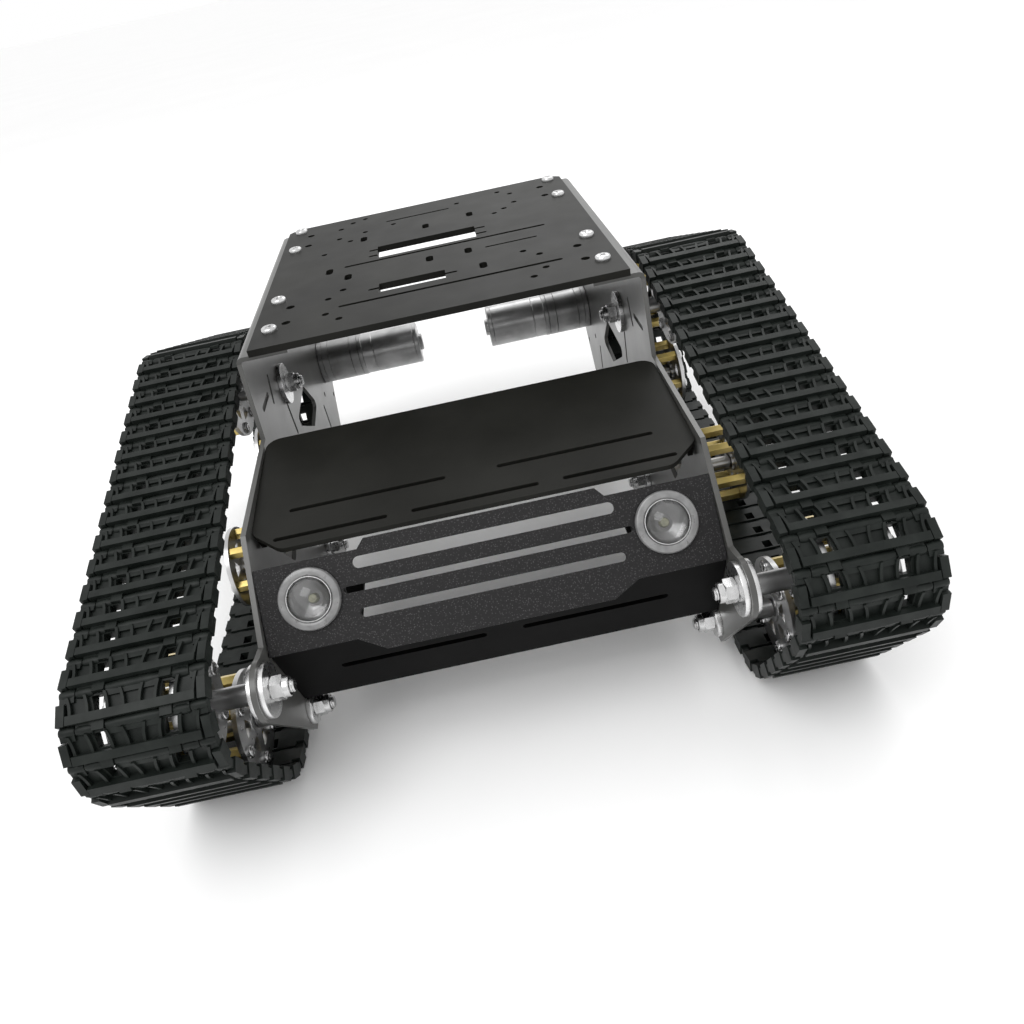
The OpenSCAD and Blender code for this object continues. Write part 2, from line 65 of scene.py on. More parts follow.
# ---- camera, floor and light ----
def make_camera():
    """The camera stands in front of the nose and looks down on it with a slight roll."""
    place = Vector((0.0121, -0.3427, 0.2660))
    look_down, roll = math.radians(35.26), math.radians(-12.17)
    data = bpy.data.cameras.new("camera")
    data.sensor_width, data.lens = 36.0, 28.125
    data.clip_start, data.clip_end = 0.01, 50.0
    camera = bpy.data.objects.new("camera", data)
    turn = Matrix.Rotation(math.pi / 2 - look_down, 4, "X") @ Matrix.Rotation(roll, 4, "Z")
    camera.matrix_world = Matrix.Translation(place) @ turn
    bpy.context.scene.collection.objects.link(camera)
    bpy.context.scene.camera = camera


def area_light(name, place, target, size, watts):
    data = bpy.data.lights.new(name, "AREA")
    data.shape, data.size, data.size_y, data.energy = "RECTANGLE", size[0], size[1], watts
    light = bpy.data.objects.new(name, data)
    aim = Vector(target) - Vector(place)
    light.matrix_world = Matrix.Translation(place) @ aim.to_track_quat("-Z", "Y").to_matrix().to_4x4()
    bpy.context.scene.collection.objects.link(light)


def make_light():
    world = bpy.data.worlds.new("studio")
    world.use_nodes = True
    world.node_tree.nodes["Background"].inputs["Color"].default_value = (1.0, 1.0, 1.0, 1.0)
    world.node_tree.nodes["Background"].inputs["Strength"].default_value = 1.0
    bpy.context.scene.world = world
    bpy.context.scene.view_settings.view_transform = "Standard"
    area_light("key", (-0.5, -0.6, 1.4), (0, 0, 0.05), (0.9, 0.9), 9)
    area_light("rear_rim", (0.5, 1.2, 1.0), (0, 0.05, 0.1), (1.2, 0.5), 5)


def make_floor():
    bm = bmesh.new()
    bmesh.ops.create_grid(bm, x_segments=4, y_segments=4, size=60.0)
    floor = add_piece("floor", bm, material("floor_paper", paper))


# ---- materials ----
class Shader:
    """Short calls for building one material's node tree."""

    def __init__(self, name):
        self.material = bpy.data.materials.new(name)
        self.material.use_nodes = True
        self.tree = self.material.node_tree
        self.bsdf = self.tree.nodes["Principled BSDF"]
        self.coords = self.tree.nodes.new("ShaderNodeTexCoord").outputs["Object"]

    def set(self, **values):
        for socket, value in values.items():
            self.bsdf.inputs[socket.replace("_", " ")].default_value = value

    def noise(self, scale, detail=4.0, stretch=(1, 1, 1)):
        node = self.tree.nodes.new("ShaderNodeTexNoise")
        node.inputs["Scale"].default_value = scale
        node.inputs["Detail"].default_value = detail
        if stretch == (1, 1, 1):
            self.tree.links.new(self.coords, node.inputs["Vector"])
        else:
            mapping = self.tree.nodes.new("ShaderNodeMapping")
            mapping.inputs["Scale"].default_value = stretch
            self.tree.links.new(self.coords, mapping.inputs["Vector"])
            self.tree.links.new(mapping.outputs["Vector"], node.inputs["Vector"])
        return node.outputs["Fac"]

    def cells(self, scale):
        node = self.tree.nodes.new("ShaderNodeTexVoronoi")
        node.inputs["Scale"].default_value = scale
        self.tree.links.new(self.coords, node.inputs["Vector"])
        return node.outputs["Distance"]

    def ramp(self, value, low, high, start=0.35, end=0.65):
        node = self.tree.nodes.new("ShaderNodeValToRGB")
        node.color_ramp.elements[0].position, node.color_ramp.elements[1].position = start, end
        node.color_ramp.elements[0].color, node.color_ramp.elements[1].color = grey(low), grey(high)
        self.tree.links.new(value, node.inputs["Fac"])
        return node.outputs["Color"]

    def colour(self, value, low, high, start=0.35, end=0.65):
        self.tree.links.new(self.ramp(value, low, high, start, end), self.bsdf.inputs["Base Color"])

    def roughness(self, value, low, high):
        node = self.tree.nodes.new("ShaderNodeMapRange")
        node.inputs["To Min"].default_value, node.inputs["To Max"].default_value = low, high
        self.tree.links.new(value, node.inputs["Value"])
        self.tree.links.new(node.outputs["Result"], self.bsdf.inputs["Roughness"])

    def bump(self, value, strength, distance):
        node = self.tree.nodes.new("ShaderNodeBump")
        node.inputs["Strength"].default_value, node.inputs["Distance"].default_value = strength, distance
        self.tree.links.new(value, node.inputs["Height"])
        previous = self.bsdf.inputs["Normal"].links
        if previous:
            self.tree.links.new(previous[0].from_socket, node.inputs["Normal"])
        self.tree.links.new(node.outputs["Normal"], self.bsdf.inputs["Normal"])


def grey(value):
    """A ramp colour from one number or from (r, g, b)."""
    return (*value, 1.0) if isinstance(value, tuple) else (value, value, value, 1.0)


_made = {}


def material(name, recipe, *args):
    if name not in _made:
        shader = Shader(name)
        recipe(shader, *args)
        _made[name] = shader.material
    return _made[name]


def paper(s):
    s.colour(s.noise(3.0), 0.97, 0.985)
    s.roughness(s.noise(40.0), 0.8, 0.9)


def painted_sheet(s, low, high, rough, gloss=0.12, grain=900.0):
    """Powder-coated or anodised sheet: cloudy colour, fine orange-peel and a little handling."""
    s.colour(s.noise(28.0, 5.0), low, high)
    s.roughness(s.noise(60.0, 6.0), rough, rough + 0.12)
    s.set(Specular_IOR_Level=gloss)
    s.bump(s.noise(grain, 3.0), 0.25, 0.00006)


def speckled_sheet(s):
    """Black powder coat with fine light specks."""
    s.colour(s.cells(1300.0), (0.06, 0.058, 0.06), (0.011, 0.0105, 0.011), 0.12, 0.34)
    s.roughness(s.noise(900.0, 2.0), 0.4, 0.6)
    s.set(Specular_IOR_Level=0.22)
    s.bump(s.noise(1500.0, 3.0), 0.9, 0.0002)


def plated_steel(s, low, high, rough, stretch=(1, 1, 1)):
    s.set(Metallic=1.0)
    s.colour(s.noise(90.0, 6.0), low, high)
    s.roughness(s.noise(400.0, 4.0, stretch), rough, rough + 0.16)
    s.bump(s.noise(900.0, 2.0, stretch), 0.12, 0.00004)


def moulded_plastic(s, low, high, rough):
    s.colour(s.noise(150.0, 5.0), low, high)
    s.roughness(s.noise(220.0, 5.0), rough, rough + 0.2)
    s.set(Specular_IOR_Level=0.2)
    s.bump(s.noise(1400.0, 3.0), 0.3, 0.00008)


def clear_lens(s):
    s.set(Transmission_Weight=1.0, IOR=1.46, Roughness=0.03)
    s.colour(s.noise(30.0), 0.94, 0.98)
    s.bump(s.noise(120.0, 2.0), 0.05, 0.00004)


def milky_plastic(s):
    s.colour(s.noise(260.0, 4.0), 0.2, 0.3)
    s.roughness(s.noise(300.0, 3.0), 0.22, 0.36)
    s.set(Transmission_Weight=0.25, Coat_Weight=0.3)


def glowing_chip(s):
    s.colour(s.noise(900.0, 3.0), (0.16, 0.16, 0.1), (0.26, 0.26, 0.17))
    s.roughness(s.noise(500.0), 0.3, 0.5)


DECK = material("deck_anodised", painted_sheet, (0.008, 0.008, 0.007), (0.013, 0.013, 0.011), 0.4)
PLATE = material("side_anodised", painted_sheet, (0.06, 0.06, 0.057), (0.08, 0.08, 0.076), 0.24, 0.6)
COVER = material("cover_satin", painted_sheet, (0.009, 0.009, 0.0075), (0.014, 0.014, 0.012), 0.46, 0.13)
FACE = material("face_speckled", speckled_sheet)
# Same satin black as the cover, but darker and less glossy: painted shade for the down-facing tray under the
# hull.
TRAY_PAINTED_SHADE = material("tray_satin_painted_shade", painted_sheet, 0.0012, 0.0025, 0.45, 0.05)
TRACK = material("track_moulded", moulded_plastic, (0.006, 0.0082, 0.007), (0.013, 0.016, 0.0142), 0.36)
ZINC = material("zinc_disc_steel", plated_steel, 0.5, 0.66, 0.22)
WASHER = material("washer_zinc", plated_steel, 0.62, 0.78, 0.2)
BOLT = material("bolt_zinc", plated_steel, 0.5, 0.7, 0.18)
TURNED = material("turned_steel", plated_steel, 0.36, 0.5, 0.24, (60.0, 1.0, 1.0))
BRASS = material("brass_hex", plated_steel, (0.52, 0.4, 0.13), (0.68, 0.54, 0.22), 0.24)
MOTOR = material("motor_can_steel", plated_steel, 0.38, 0.54, 0.28, (1.0, 20.0, 20.0))
GEARBOX = material("gearbox_steel", plated_steel, 0.3, 0.44, 0.3, (1.0, 20.0, 20.0))
NUT_BLACK = material("black_nylon", moulded_plastic, 0.012, 0.02, 0.4)
LENS = material("lamp_clear", clear_lens)
BEZEL = material("lamp_milky", milky_plastic)
REFLECTOR = material("lamp_reflector", plated_steel, 0.14, 0.22, 0.3)
PIN = material("pin_steel", plated_steel, 0.05, 0.09, 0.36)
CHIP = material("lamp_chip", glowing_chip)
BOARD = material("lamp_board", moulded_plastic, 0.16, 0.22, 0.35)


# ---- mesh helpers ----
def add_piece(name, bm, look, smooth_angle=35.0):
    """Turns a bmesh into a linked object with one material and smooth faces up to an angle."""
    bmesh.ops.recalc_face_normals(bm, faces=bm.faces)
    mesh = bpy.data.meshes.new(name)
    bm.to_mesh(mesh)
    bm.free()
    mesh.materials.append(look)
    mesh.shade_smooth()
    mesh.set_sharp_from_angle(angle=math.radians(smooth_angle))
    piece = bpy.data.objects.new(name, mesh)
    bpy.context.scene.collection.objects.link(piece)
    piece.modifiers.new("face_weighted_normals", "WEIGHTED_NORMAL").keep_sharp = True
    return piece


def stamp(target, source, matrix):
    """Copies source's faces into target, moved by matrix."""
    new = [target.verts.new(matrix @ v.co) for v in source.verts]
    source.verts.index_update()
    for face in source.faces:
        target.faces.new([new[v.index] for v in face.verts])


def along_x(x, y, z, side=1):
    """Turns a shape's +Z to point along side * X, at a place."""
    return Matrix.Translation((x, y, z)) @ Matrix.Rotation(side * math.pi / 2, 4, "Y")


def lathe(profile, segments=48):
    """A closed solid of revolution about Z from (radius, height) points; radius 0 closes an end."""
    bm = bmesh.new()
    rings = []
    for radius, height in profile:
        if radius <= 0:
            rings.append([bm.verts.new((0, 0, height))])
        else:
            angles = [2 * math.pi * k / segments for k in range(segments)]
            rings.append([bm.verts.new((radius * math.cos(a), radius * math.sin(a), height)) for a in angles])
    closed = profile[0][0] > 0 and profile[-1][0] > 0
    pairs = list(zip(rings, rings[1:])) + ([(rings[-1], rings[0])] if closed else [])
    for low, high in pairs:
        for k in range(segments):
            j = (k + 1) % segments
            corners = [low[k % len(low)], low[j % len(low)], high[j % len(high)], high[k % len(high)]]
            bm.faces.new(list(dict.fromkeys(corners)))
    return bm


def soften(bm, width, segments=2, angle=30.0):
    """Rounds every edge sharper than an angle."""
    edges = [e for e in bm.edges if len(e.link_faces) == 2 and e.calc_face_angle(0) > math.radians(angle)]
    bmesh.ops.bevel(bm, geom=edges, offset=width, segments=segments, profile=0.6, affect="EDGES",
                    clamp_overlap=True)


def refined_copy(node, look, width=0.25 * MM, name=None):
    """A copy of a CAD node with small edge rounds, which stands for it."""
    bm = bmesh.new()
    bm.from_mesh(NODES[node].data)
    bmesh.ops.remove_doubles(bm, verts=bm.verts, dist=1e-6)
    bmesh.ops.dissolve_limit(bm, angle_limit=math.radians(1.0), verts=bm.verts, edges=bm.edges)
    soften(bm, width)
    piece = add_piece(name or node + "_shell", bm, look)
    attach(piece, NODES[node]["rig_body"])
    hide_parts(node)
    return piece


def stand_in(piece, node):
    """The new piece rides on a CAD node's body and replaces it."""
    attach(piece, NODES[node]["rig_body"])
    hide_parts(node)


def look_of(node, look):
    data = NODES[node].data
    data.materials.clear()
    data.materials.append(look)


def axle(side, wheel):
    return Vector(JOINTS[f"{side}_{wheel}_spin"]["pos_m"])


# ---- fasteners ----
def cross_outline(width, length):
    """32 points round a cross, counter-clockwise from +X."""
    w, l = width / 2, length / 2
    near, far = (l + 3 * w) / 4, (l + w) / 2
    arm = [(l, 0), (l, w), (far, w), (near, w), (w, w), (w, near), (w, far), (w, l)]
    points = []
    for quarter in range(4):
        turn = Matrix.Rotation(quarter * math.pi / 2, 2)
        points += [turn @ Vector(p) for p in arm]
    return points


def pan_head(radius, height, shank_r, shank_len):
    """A pan head screw with a cross recess; the head's underside is z = 0 and the shank hangs below."""
    bm = bmesh.new()
    cross = cross_outline(radius * 0.24, radius * 1.05)
    rim = [p.normalized() for p in cross]
    levels = [(0.62, 1.0), (0.8, 0.93), (0.93, 0.76), (1.0, 0.45), (1.0, 0.0)]

    def ring(points, z):
        return [bm.verts.new((p.x, p.y, z)) for p in points]

    rings = [ring([p * 0.5 for p in cross], height * 0.35), ring(cross, height)]
    rings += [ring([p * radius * f for p in rim], height * h) for f, h in levels]
    rings += [ring([p * shank_r for p in rim], z) for z in (0.0, -shank_len + 0.3 * MM)]
    rings += [ring([p * (shank_r - 0.3 * MM) for p in rim], -shank_len)]
    for low, high in zip(rings, rings[1:]):
        for k in range(len(low)):
            j = (k + 1) % len(low)
            bm.faces.new([low[k], low[j], high[j], high[k]])
    bm.faces.new(rings[0])
    bm.faces.new(rings[-1])
    return bm


def hex_block(flats, height, bore=0.0, segments=36):
    """A chamfered hexagon from z = 0 to height, solid or with a bore."""
    def reach(angle):
        return flats / 2 / math.cos((angle + math.pi / 6) % (math.pi / 3) - math.pi / 6)

    def ring(radius_of, z_of):
        angles = [2 * math.pi * k / segments for k in range(segments)]
        spots = [(radius_of(a) * math.cos(a), radius_of(a) * math.sin(a), z_of(a)) for a in angles]
        return [bm.verts.new(spot) for spot in spots]

    bm = bmesh.new()
    chamfer = 0.55
    flat_r = flats / 2 * 0.97
    rings = [
        ring(lambda a: flat_r, lambda a: 0.0),
        ring(reach, lambda a: 0.15 * MM + (reach(a) - flats / 2) * chamfer),
        ring(reach, lambda a: height - 0.15 * MM - (reach(a) - flats / 2) * chamfer),
        ring(lambda a: flat_r, lambda a: height),
    ]
    if bore:
        rings += [
            ring(lambda a: bore + 0.25 * MM, lambda a: height),
            ring(lambda a: bore, lambda a: height - 0.25 * MM),
            ring(lambda a: bore, lambda a: 0.25 * MM),
            ring(lambda a: bore + 0.25 * MM, lambda a: 0.0),
        ]
    count = len(rings) if bore else len(rings) - 1
    for i in range(count):
        low, high = rings[i], rings[(i + 1) % len(rings)]
        for k in range(segments):
            j = (k + 1) % segments
            bm.faces.new([low[k], low[j], high[j], high[k]])
    if not bore:
        bm.faces.new(rings[0])
        bm.faces.new(rings[-1])
    return bm


def islands(node):
    """The separate solids of a CAD node, each as (lowest corner, highest corner)."""
    bm = bmesh.new()
    bm.from_mesh(NODES[node].data)
    bmesh.ops.remove_doubles(bm, verts=bm.verts, dist=1e-6)
    seen, found = set(), []
    for start in bm.verts:
        if start in seen:
            continue
        stack, members = [start], []
        seen.add(start)
        while stack:
            v = stack.pop()
            members.append(v.co.copy())
            for e in v.link_edges:
                other = e.other_vert(v)
                if other not in seen:
                    seen.add(other)
                    stack.append(other)
        low = Vector(min(p[i] for p in members) for i in range(3))
        high = Vector(max(p[i] for p in members) for i in range(3))
        found.append((low, high))
    bm.free()
    return found


def make_deck_screws():
    bm = bmesh.new()
    for low, high in islands("deck_screws"):
        head = 2 * MM
        screw = pan_head(3.5 * MM, head, 1.95 * MM, high.z - low.z - head)
        middle = (low + high) / 2
        spin = Matrix.Rotation(middle.x * 31 + middle.y * 17, 4, "Z")
        stamp(bm, screw, Matrix.Translation((middle.x, middle.y, high.z - head)) @ spin)
        screw.free()
    stand_in(add_piece("deck_screw_set", bm, BOLT), "deck_screws")


def make_side_screws(node, radius, shank_r):
    """Screws whose heads stand on the outside of a side plate."""
    bm = bmesh.new()
    for low, high in islands(node):
        side = 1 if high.x > 0 else -1
        middle = (low + high) / 2
        head = 1.8 * MM
        outer = max(abs(low.x), abs(high.x))
        screw = pan_head(radius, head, shank_r, abs(high.x - low.x) - head)
        stamp(bm, screw, along_x(side * (outer - head), middle.y, middle.z, side))
        screw.free()
    stand_in(add_piece(node + "_set", bm, BOLT), node)


def make_deck_nuts():
    bm = bmesh.new()
    nut = hex_block(7 * MM, 3.2 * MM, 2 * MM)
    for low, high in islands("deck_nuts"):
        stamp(bm, nut, Matrix.Translation(((low.x + high.x) / 2, (low.y + high.y) / 2, low.z)))
    nut.free()
    stand_in(add_piece("deck_nut_set", bm, BOLT), "deck_nuts")


def make_axle_bolts():
    """Hexagon head outside the wheel, plain shank, and a turned thread end inside the hull."""
    bm = bmesh.new()
    head_len, shank_r = 3.5 * MM, 2.5 * MM
    head = hex_block(8 * MM, head_len)
    for low, high in islands("axle_bolts"):
        side = 1 if high.x > 0 else -1
        y, z = (low.y + high.y) / 2, (low.z + high.z) / 2
        outer, inner = max(abs(low.x), abs(high.x)), min(abs(low.x), abs(high.x))
        stamp(bm, head, along_x(side * (outer - head_len), y, z, side))
        length = outer - head_len - inner
        profile = [(0, 0), (shank_r - 0.5 * MM, 0), (shank_r, 0.5 * MM)]
        pitch = 0.8 * MM
        for k in range(1, 10):
            profile += [(shank_r - 0.32 * MM, (k - 0.5) * pitch + 0.5 * MM), (shank_r, k * pitch + 0.5 * MM)]
        profile += [(shank_r, length), (0, length)]
        shank = lathe(profile, 24)
        stamp(bm, shank, along_x(side * inner, y, z, side))
        shank.free()
    head.free()
    stand_in(add_piece("axle_bolt_set", bm, BOLT), "axle_bolts")


def make_axle_nuts():
    """Lock nuts: a hexagon and a round collar with its nylon ring."""
    bm, ring_bm = bmesh.new(), bmesh.new()
    hex_len = 4.5 * MM
    nut = hex_block(8 * MM, hex_len, 2.55 * MM)
    collar_line = [(2.9, -2.0), (3.5, -2.0), (3.8, -1.6), (3.8, 0), (2.9, 0)]
    collar = lathe([(r * MM, h * MM) for r, h in collar_line], 36)
    nylon_line = [(2.55, -1.7), (2.88, -1.7), (2.88, -0.1), (2.55, -0.1)]
    nylon = lathe([(r * MM, h * MM) for r, h in nylon_line], 36)
    for low, high in islands("axle_nuts"):
        side = 1 if high.x > 0 else -1
        middle = (low + high) / 2
        outer = max(abs(low.x), abs(high.x))
        place = along_x(side * (outer - hex_len), middle.y, middle.z, side)
        stamp(bm, nut, place)
        stamp(bm, collar, place)
        stamp(ring_bm, nylon, place)
    for part in (nut, collar, nylon):
        part.free()
    stand_in(add_piece("axle_nut_set", bm, BOLT), "axle_nuts")
    ring = add_piece("axle_nut_nylon", ring_bm, NUT_BLACK)
    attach(ring, "hull")


# ---- wheels ----
def make_wheel_screws(side, wheel, ring_r):
    """Button screws that hold a wheel's discs on its standoffs, on both discs' outer faces."""
    centre, sign = axle(side, wheel), SIDES[side]
    faces = [abs(centre.x) - 12 * MM, abs(centre.x) + 12 * MM]
    bm = bmesh.new()
    screw = pan_head(2.7 * MM, 1.5 * MM, 1.4 * MM, 4 * MM)
    for k in range(6):
        angle = k * math.pi / 3
        y = centre.y + ring_r * math.cos(angle)
        z = centre.z + ring_r * math.sin(angle)
        for x, out in ((faces[0], -1), (faces[1], 1)):
            stamp(bm, screw, along_x(sign * x, y, z, sign * out))
    screw.free()
    piece = add_piece(f"{side}_{wheel}_screws", bm, BOLT)
    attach(piece, f"{side}_{wheel}")


def make_wheels():
    for side in SIDES:
        for wheel in WHEELS:
            kind, _, number = wheel.partition("_")
            tail = "_" + number if number else ""
            refined_copy(f"{side}_{kind}_wheel{tail}", ZINC, 0.2 * MM)
            refined_copy(f"{side}_{kind}_standoffs{tail}", BRASS, 0.2 * MM)
            make_wheel_screws(side, wheel, 17 * MM)
        refined_copy(f"{side}_sprocket", ZINC, 0.2 * MM)
        refined_copy(f"{side}_sprocket_standoffs", BRASS, 0.2 * MM)
        refined_copy(f"{side}_sprocket_hub", TURNED, 0.4 * MM)
        look_of(f"{side}_output_shaft", BOLT)
        make_wheel_screws(side, "drive", 19 * MM)


# ---- tracks ----
LINK_PITCH = 11.95 * MM
PIN_RISE = 2.6 * MM
TEETH = 14
# Across a link, in millimetres from its middle: cell walls, hole, and the inner side of the end lugs
DIVIDERS = (2.6, 7.8, 14.4, 20.2)
HOLE_X = (9.0, 13.0)
LUG_X = 21.7
CELL_END_X = 21.1
# Along a link, in millimetres: hole, lug, cross rib and the flat end beyond it
HOLE_Y = (-4.2, 0.8)
LUG_Y = (-2.8, 4.3)
RIB_Y = (1.3, 4.3)
PLAIN_PIN_R = math.hypot(20.9 * MM + 0.3 * MM + PIN_RISE, LINK_PITCH / 2)
SPROCKET_PIN_R = LINK_PITCH / 2 / math.sin(math.pi / TEETH)


def pin_places(side):
    """The track pins' (y, z) places, equally spaced round the belt of five wheels, as in the CAD."""
    belt = [axle(side, w) for w in ("road_1", "road_3", "drive", "roller", "idler")]
    radii = [PLAIN_PIN_R, PLAIN_PIN_R, SPROCKET_PIN_R, PLAIN_PIN_R, PLAIN_PIN_R]
    count = len(belt)
    steps = [(belt[(i + 1) % count] - belt[i]).yz for i in range(count)]
    drops = [radii[i] - radii[(i + 1) % count] for i in range(count)]
    outward = [math.atan2(s.y, s.x) - math.acos(d / s.length) for s, d in zip(steps, drops)]
    runs = [math.sqrt(s.length ** 2 - d ** 2) for s, d in zip(steps, drops)]
    arcs = [radii[i] * ((outward[i] - outward[i - 1]) % (2 * math.pi)) for i in range(count)]
    total = sum(runs) + sum(arcs)
    links = round(total / LINK_PITCH)
    pins = []
    for k in range(links):
        s, i = k * total / links, 0
        while s >= arcs[i] + runs[i]:
            s -= arcs[i] + runs[i]
            i += 1
        angle = outward[i - 1] + min(s, arcs[i]) / radii[i]
        normal = Vector((math.cos(angle), math.sin(angle)))
        along = Vector((-normal.y, normal.x)) * max(0.0, s - arcs[i])
        pins.append(belt[i].yz + radii[i] * normal + along)
    return pins


def tile_solid(xs, ys, height_of, low=0.0):
    """A closed solid on a grid of tiles; height_of(x, y) gives each tile's top, or None for a hole."""
    bm = bmesh.new()
    tops = [[height_of((a + b) / 2, (c + d) / 2) for c, d in zip(ys, ys[1:])] for a, b in zip(xs, xs[1:])]
    levels = sorted({low, *(h for row in tops for h in row if h is not None)})
    corners = {}

    def corner(i, j, z):
        key = (i, j, z)
        if key not in corners:
            corners[key] = bm.verts.new((xs[i], ys[j], z))
        return corners[key]

    def top(i, j):
        inside = 0 <= i < len(tops) and 0 <= j < len(tops[0])
        return tops[i][j] if inside and tops[i][j] is not None else low

    def wall(i0, j0, i1, j1, z0, z1):
        for a, b in zip(levels, levels[1:]):
            if a >= min(z0, z1) and b <= max(z0, z1):
                bm.faces.new([corner(i0, j0, a), corner(i1, j1, a), corner(i1, j1, b), corner(i0, j0, b)])

    for i in range(len(xs) - 1):
        for j in range(len(ys) - 1):
            if tops[i][j] is not None:
                for z in (low, tops[i][j]):
                    around = [(i, j), (i + 1, j), (i + 1, j + 1), (i, j + 1)]
                    bm.faces.new([corner(a, b, z) for a, b in around])
    for i in range(len(xs)):
        for j in range(len(ys) - 1):
            wall(i, j, i, j + 1, top(i - 1, j), top(i, j))
    for i in range(len(xs) - 1):
        for j in range(len(ys)):
            wall(i, j, i + 1, j, top(i, j - 1), top(i, j))
    return bm


def link_height(x, y):
    """Tread height of one moulded link: a bold cross rib, thin walls between cells and two holes."""
    x, y = abs(x) / MM, y / MM
    end, plate, wall, lug, rib = 2.8 * MM, 3.2 * MM, 4.8 * MM, 5.4 * MM, 6.0 * MM
    beside_lug = LUG_Y[0] < y < LUG_Y[1]
    if x > LUG_X:
        return lug if beside_lug else None
    if HOLE_X[0] < x < HOLE_X[1] and HOLE_Y[0] < y < HOLE_Y[1]:
        return None
    if x > CELL_END_X:
        return plate if beside_lug else None
    if RIB_Y[0] < y < RIB_Y[1]:
        return rib
    if y > RIB_Y[1]:
        return end
    if any(abs(x - d) < 0.5 for d in DIVIDERS):
        return wall
    return plate


def make_link():
    """One link along +Y with its inner face on z = 0 and its tread upwards."""
    half = sorted([0, *HOLE_X, CELL_END_X, LUG_X, 24.5] + [d + e for d in DIVIDERS for e in (-0.5, 0.5)])
    xs = [-v * MM for v in reversed(half[1:])] + [v * MM for v in half]
    ys = [v * MM for v in (-4.9, -4.3, HOLE_Y[0], LUG_Y[0], -1.6, -0.4, HOLE_Y[1], *RIB_Y, 4.9)]
    bm = tile_solid(xs, ys, link_height)
    for v in bm.verts:
        if 2.5 * MM < v.co.z and v.co.y < 1.0 * MM and abs(v.co.x) < 21 * MM:
            t = (v.co.y / MM - 1.3) / 5.6
            v.co.x += math.copysign(0.9 * MM * t * t, v.co.x)
    bmesh.ops.remove_doubles(bm, verts=bm.verts, dist=1e-6)
    bmesh.ops.dissolve_limit(bm, angle_limit=math.radians(1.0), verts=bm.verts, edges=bm.edges)
    bmesh.ops.recalc_face_normals(bm, faces=bm.faces)
    soften(bm, 0.22 * MM, 2)
    knuckle = lathe([(0, 0), (1.6 * MM, 0), (1.9 * MM, 0.3 * MM), (1.9 * MM, 0.7 * MM), (1.9 * MM, 1.0 * MM),
                     (1.6 * MM, 1.3 * MM), (0, 1.3 * MM)], 20)
    front = ((-18.7, -13.2), (13.2, 18.7))
    rear = ((-24.2, -19.0), (-8.8, 8.8), (19.0, 24.2))
    for bands, d in ((front, 1), (rear, -1)):
        for lo, hi in bands:
            grow = Matrix.Diagonal((1, 1, (hi - lo) / 1.3, 1))
            stamp(bm, knuckle, along_x(lo * MM, d * LINK_PITCH / 2, PIN_RISE) @ grow)
            arm = bmesh.new()
            bmesh.ops.create_cube(arm, size=1.0)
            size = Matrix.Diagonal(((hi - lo - 0.3) * MM, 2.6 * MM, 3.0 * MM, 1))
            stamp(bm, arm, Matrix.Translation(((lo + hi) / 2 * MM, d * 4.5 * MM, PIN_RISE)) @ size)
            arm.free()
    for sx in (-1, 1):
        roof = bmesh.new()
        bmesh.ops.create_cube(roof, size=1.0)
        size = Matrix.Diagonal((4.0 * MM, 3.0 * MM, 1.3 * MM, 1))
        stamp(bm, roof, Matrix.Translation((sx * 11.1 * MM, 5.7 * MM, 4.0 * MM)) @ size)
        roof.free()
    knuckle.free()
    return bm


def make_tracks():
    link = make_link()
    link.verts.index_update()
    for side, sign in SIDES.items():
        pins = pin_places(side)
        bm = bmesh.new()
        for k, a in enumerate(pins):
            b = pins[(k + 1) % len(pins)]
            middle, step = (a + b) / 2, b - a
            turn = Matrix.Rotation(math.atan2(step.y, step.x), 4, "X") @ Matrix.Rotation(math.pi, 4, "Y")
            place = Matrix.Translation((sign * abs(axle(side, "idler").x), middle.x, middle.y))
            stamp(bm, link, place @ turn @ Matrix.Translation((0, 0, -PIN_RISE)))
        stand_in(add_piece(f"{side}_track", bm, TRACK), f"{side}_track_links")
    link.free()
    look_of("track_pins", PIN)


# ---- gear motors ----
def along_both(bm, profile, inner, segments=64):
    """Stamps a turned solid along both drive axes, starting inner metres from the middle."""
    solid = lathe([(r * MM, x * MM) for r, x in profile], segments)
    for sign in SIDES.values():
        centre = axle("right", "drive")
        stamp(bm, solid, along_x(sign * inner, centre.y, centre.z, sign))
    solid.free()


def make_motors():
    """Gearboxes with their seams and output bosses, and cans with a crimped end cap and a bearing boss."""
    gearbox = [(0, 0), (12.1, 0), (12.5, 0.4)]
    for seam in (2.6, 7.5, 21.0, 25.0):
        gearbox += [(12.5, seam - 0.25), (12.15, seam), (12.5, seam + 0.25)]
    gearbox += [(12.5, 27.6), (12.1, 28), (3.5, 28), (3.5, 30.6), (2.06, 30.6), (2.06, 12), (0, 12)]
    bm = bmesh.new()
    along_both(bm, gearbox, inner_end("gearboxes"))
    stand_in(add_piece("gearbox_pair", bm, GEARBOX), "gearboxes")
    can = [(0, 0), (4.6, 0), (5, 0.4), (5, 2), (10.6, 2), (10.9, 2.4), (11.7, 2.1), (12.2, 2.6), (12.2, 4.4),
           (11.95, 4.7), (12.2, 5), (12.2, 30), (11.9, 30.4), (12.2, 30.8), (12.2, 37), (0, 37)]
    bm = bmesh.new()
    along_both(bm, can, inner_end("motor_cans"))
    stand_in(add_piece("motor_can_pair", bm, MOTOR), "motor_cans")


def inner_end(node):
    """How near the middle a mirrored node comes."""
    return min(min(abs(low.x), abs(high.x)) for low, high in islands(node))


# ---- headlights ----
FACE_TILT = math.radians(51.6)


def lamp_places():
    """Frames at the two lamps: z points out of the face."""
    places = []
    for low, high in sorted(islands("lamp_nuts"), key=lambda box: box[0].x):
        middle = (low + high) / 2
        turn = Matrix.Rotation(math.pi + FACE_TILT, 4, "X")
        centre = middle - turn.to_3x3() @ Vector((0, 0, 3.5 * MM))
        places.append(Matrix.Translation(centre) @ turn @ Matrix.Rotation(math.pi, 4, "X"))
    return places


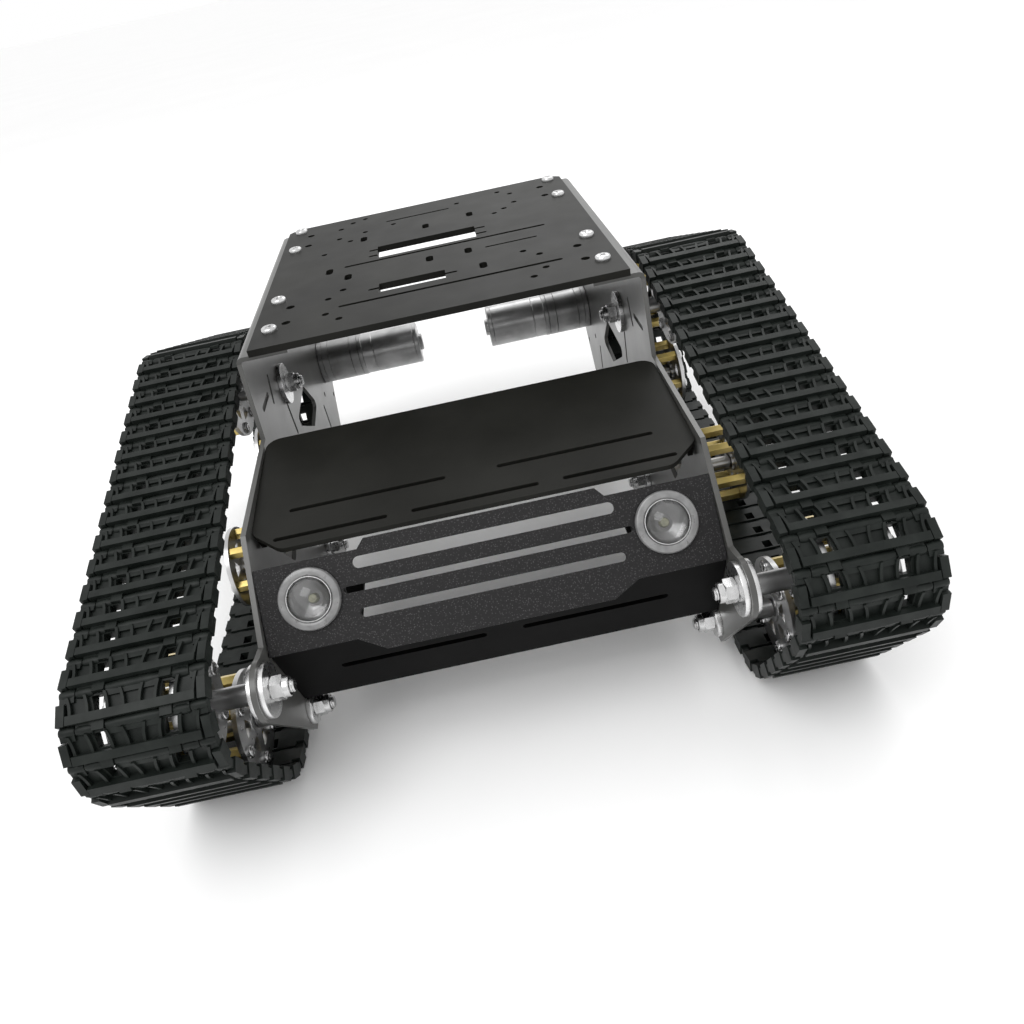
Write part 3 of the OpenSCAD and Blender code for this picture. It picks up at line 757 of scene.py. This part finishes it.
def stamp_lamps(profile, segments=64):
    bm = bmesh.new()
    solid = lathe([(r * MM, z * MM) for r, z in profile], segments)
    for place in lamp_places():
        stamp(bm, solid, place)
    solid.free()
    return bm


def arc_points(radius, centre_z, r_from, r_to, count):
    """Points on a sphere's outline between two radii, as (radius, height)."""
    radii = [r_from + (r_to - r_from) * k / (count - 1) for k in range(count)]
    return [(r, centre_z + math.sqrt(radius ** 2 - r ** 2)) for r in radii]


def make_lamps():
    bezel = [(8.3, -7.9), (9.3, -7.9), (9.4, 0.0), (11.0, 0.0), (11.5, 0.4), (11.5, 1.4), (11.1, 2.1),
             (10.2, 2.4), (9.0, 2.35), (8.5, 2.0), (8.3, 1.5)]
    stand_in(add_piece("lamp_bezel_pair", stamp_lamps(bezel), BEZEL), "lamp_bezels")
    dome = [(0, -1.4), (8.15, -1.4), (8.15, 0.5)] + arc_points(10.5, -5.9, 8.1, 0.4, 14) + [(0, 4.6)]
    stand_in(add_piece("lamp_lens_pair", stamp_lamps(dome), LENS), "lamp_lenses")
    nut = [(9.5, -5.0), (12.1, -5.0), (12.5, -4.6), (12.5, -2.4), (12.1, -2.0), (9.5, -2.0)]
    stand_in(add_piece("lamp_nut_pair", stamp_lamps(nut, 36), NUT_BLACK), "lamp_nuts")
    board = [(0, -6.1), (8.2, -6.1), (8.2, -4.5), (0, -4.5)]
    stand_in(add_piece("lamp_board_pair", stamp_lamps(board, 48), BOARD), "lamp_boards")
    reflector = [(2.2, -4.4), (3.4, -4.4), (8.1, -1.6), (8.1, -1.5), (7.7, -1.5), (3.0, -4.0), (2.2, -4.2)]
    extra(add_piece("lamp_reflector_pair", stamp_lamps(reflector), REFLECTOR))
    rim = [(7.95, 1.15), (8.28, 1.15), (8.28, 2.45), (8.2, 2.55), (8.03, 2.55), (7.95, 2.45)]
    extra(add_piece("lamp_rim_pair", stamp_lamps(rim), WASHER))
    chip = [(0, -4.5), (1.3, -4.5), (1.3, -3.3), (1.1, -3.0), (0, -2.8)]
    extra(add_piece("lamp_chip_pair", stamp_lamps(chip, 24), CHIP))


def extra(piece, body="hull"):
    """A detail with no CAD node of its own."""
    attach(piece, body)


# ---- build ----
make_camera()
make_light()
make_floor()
refined_copy("top_deck", DECK)
for side in SIDES:
    refined_copy(f"{side}_side_plate", PLATE)
refined_copy("nose_cover", COVER)
refined_copy("front_panel", FACE)
refined_copy("lower_tray", TRAY_PAINTED_SHADE)
refined_copy("plate_washers", WASHER)
refined_copy("axle_tubes", TURNED, 0.2 * MM)
make_deck_screws()
make_side_screws("panel_screws", 2.8 * MM, 1.5 * MM)
make_side_screws("motor_screws", 2.8 * MM, 1.45 * MM)
make_deck_nuts()
make_axle_bolts()
make_axle_nuts()
make_wheels()
make_tracks()
make_motors()
make_lamps()
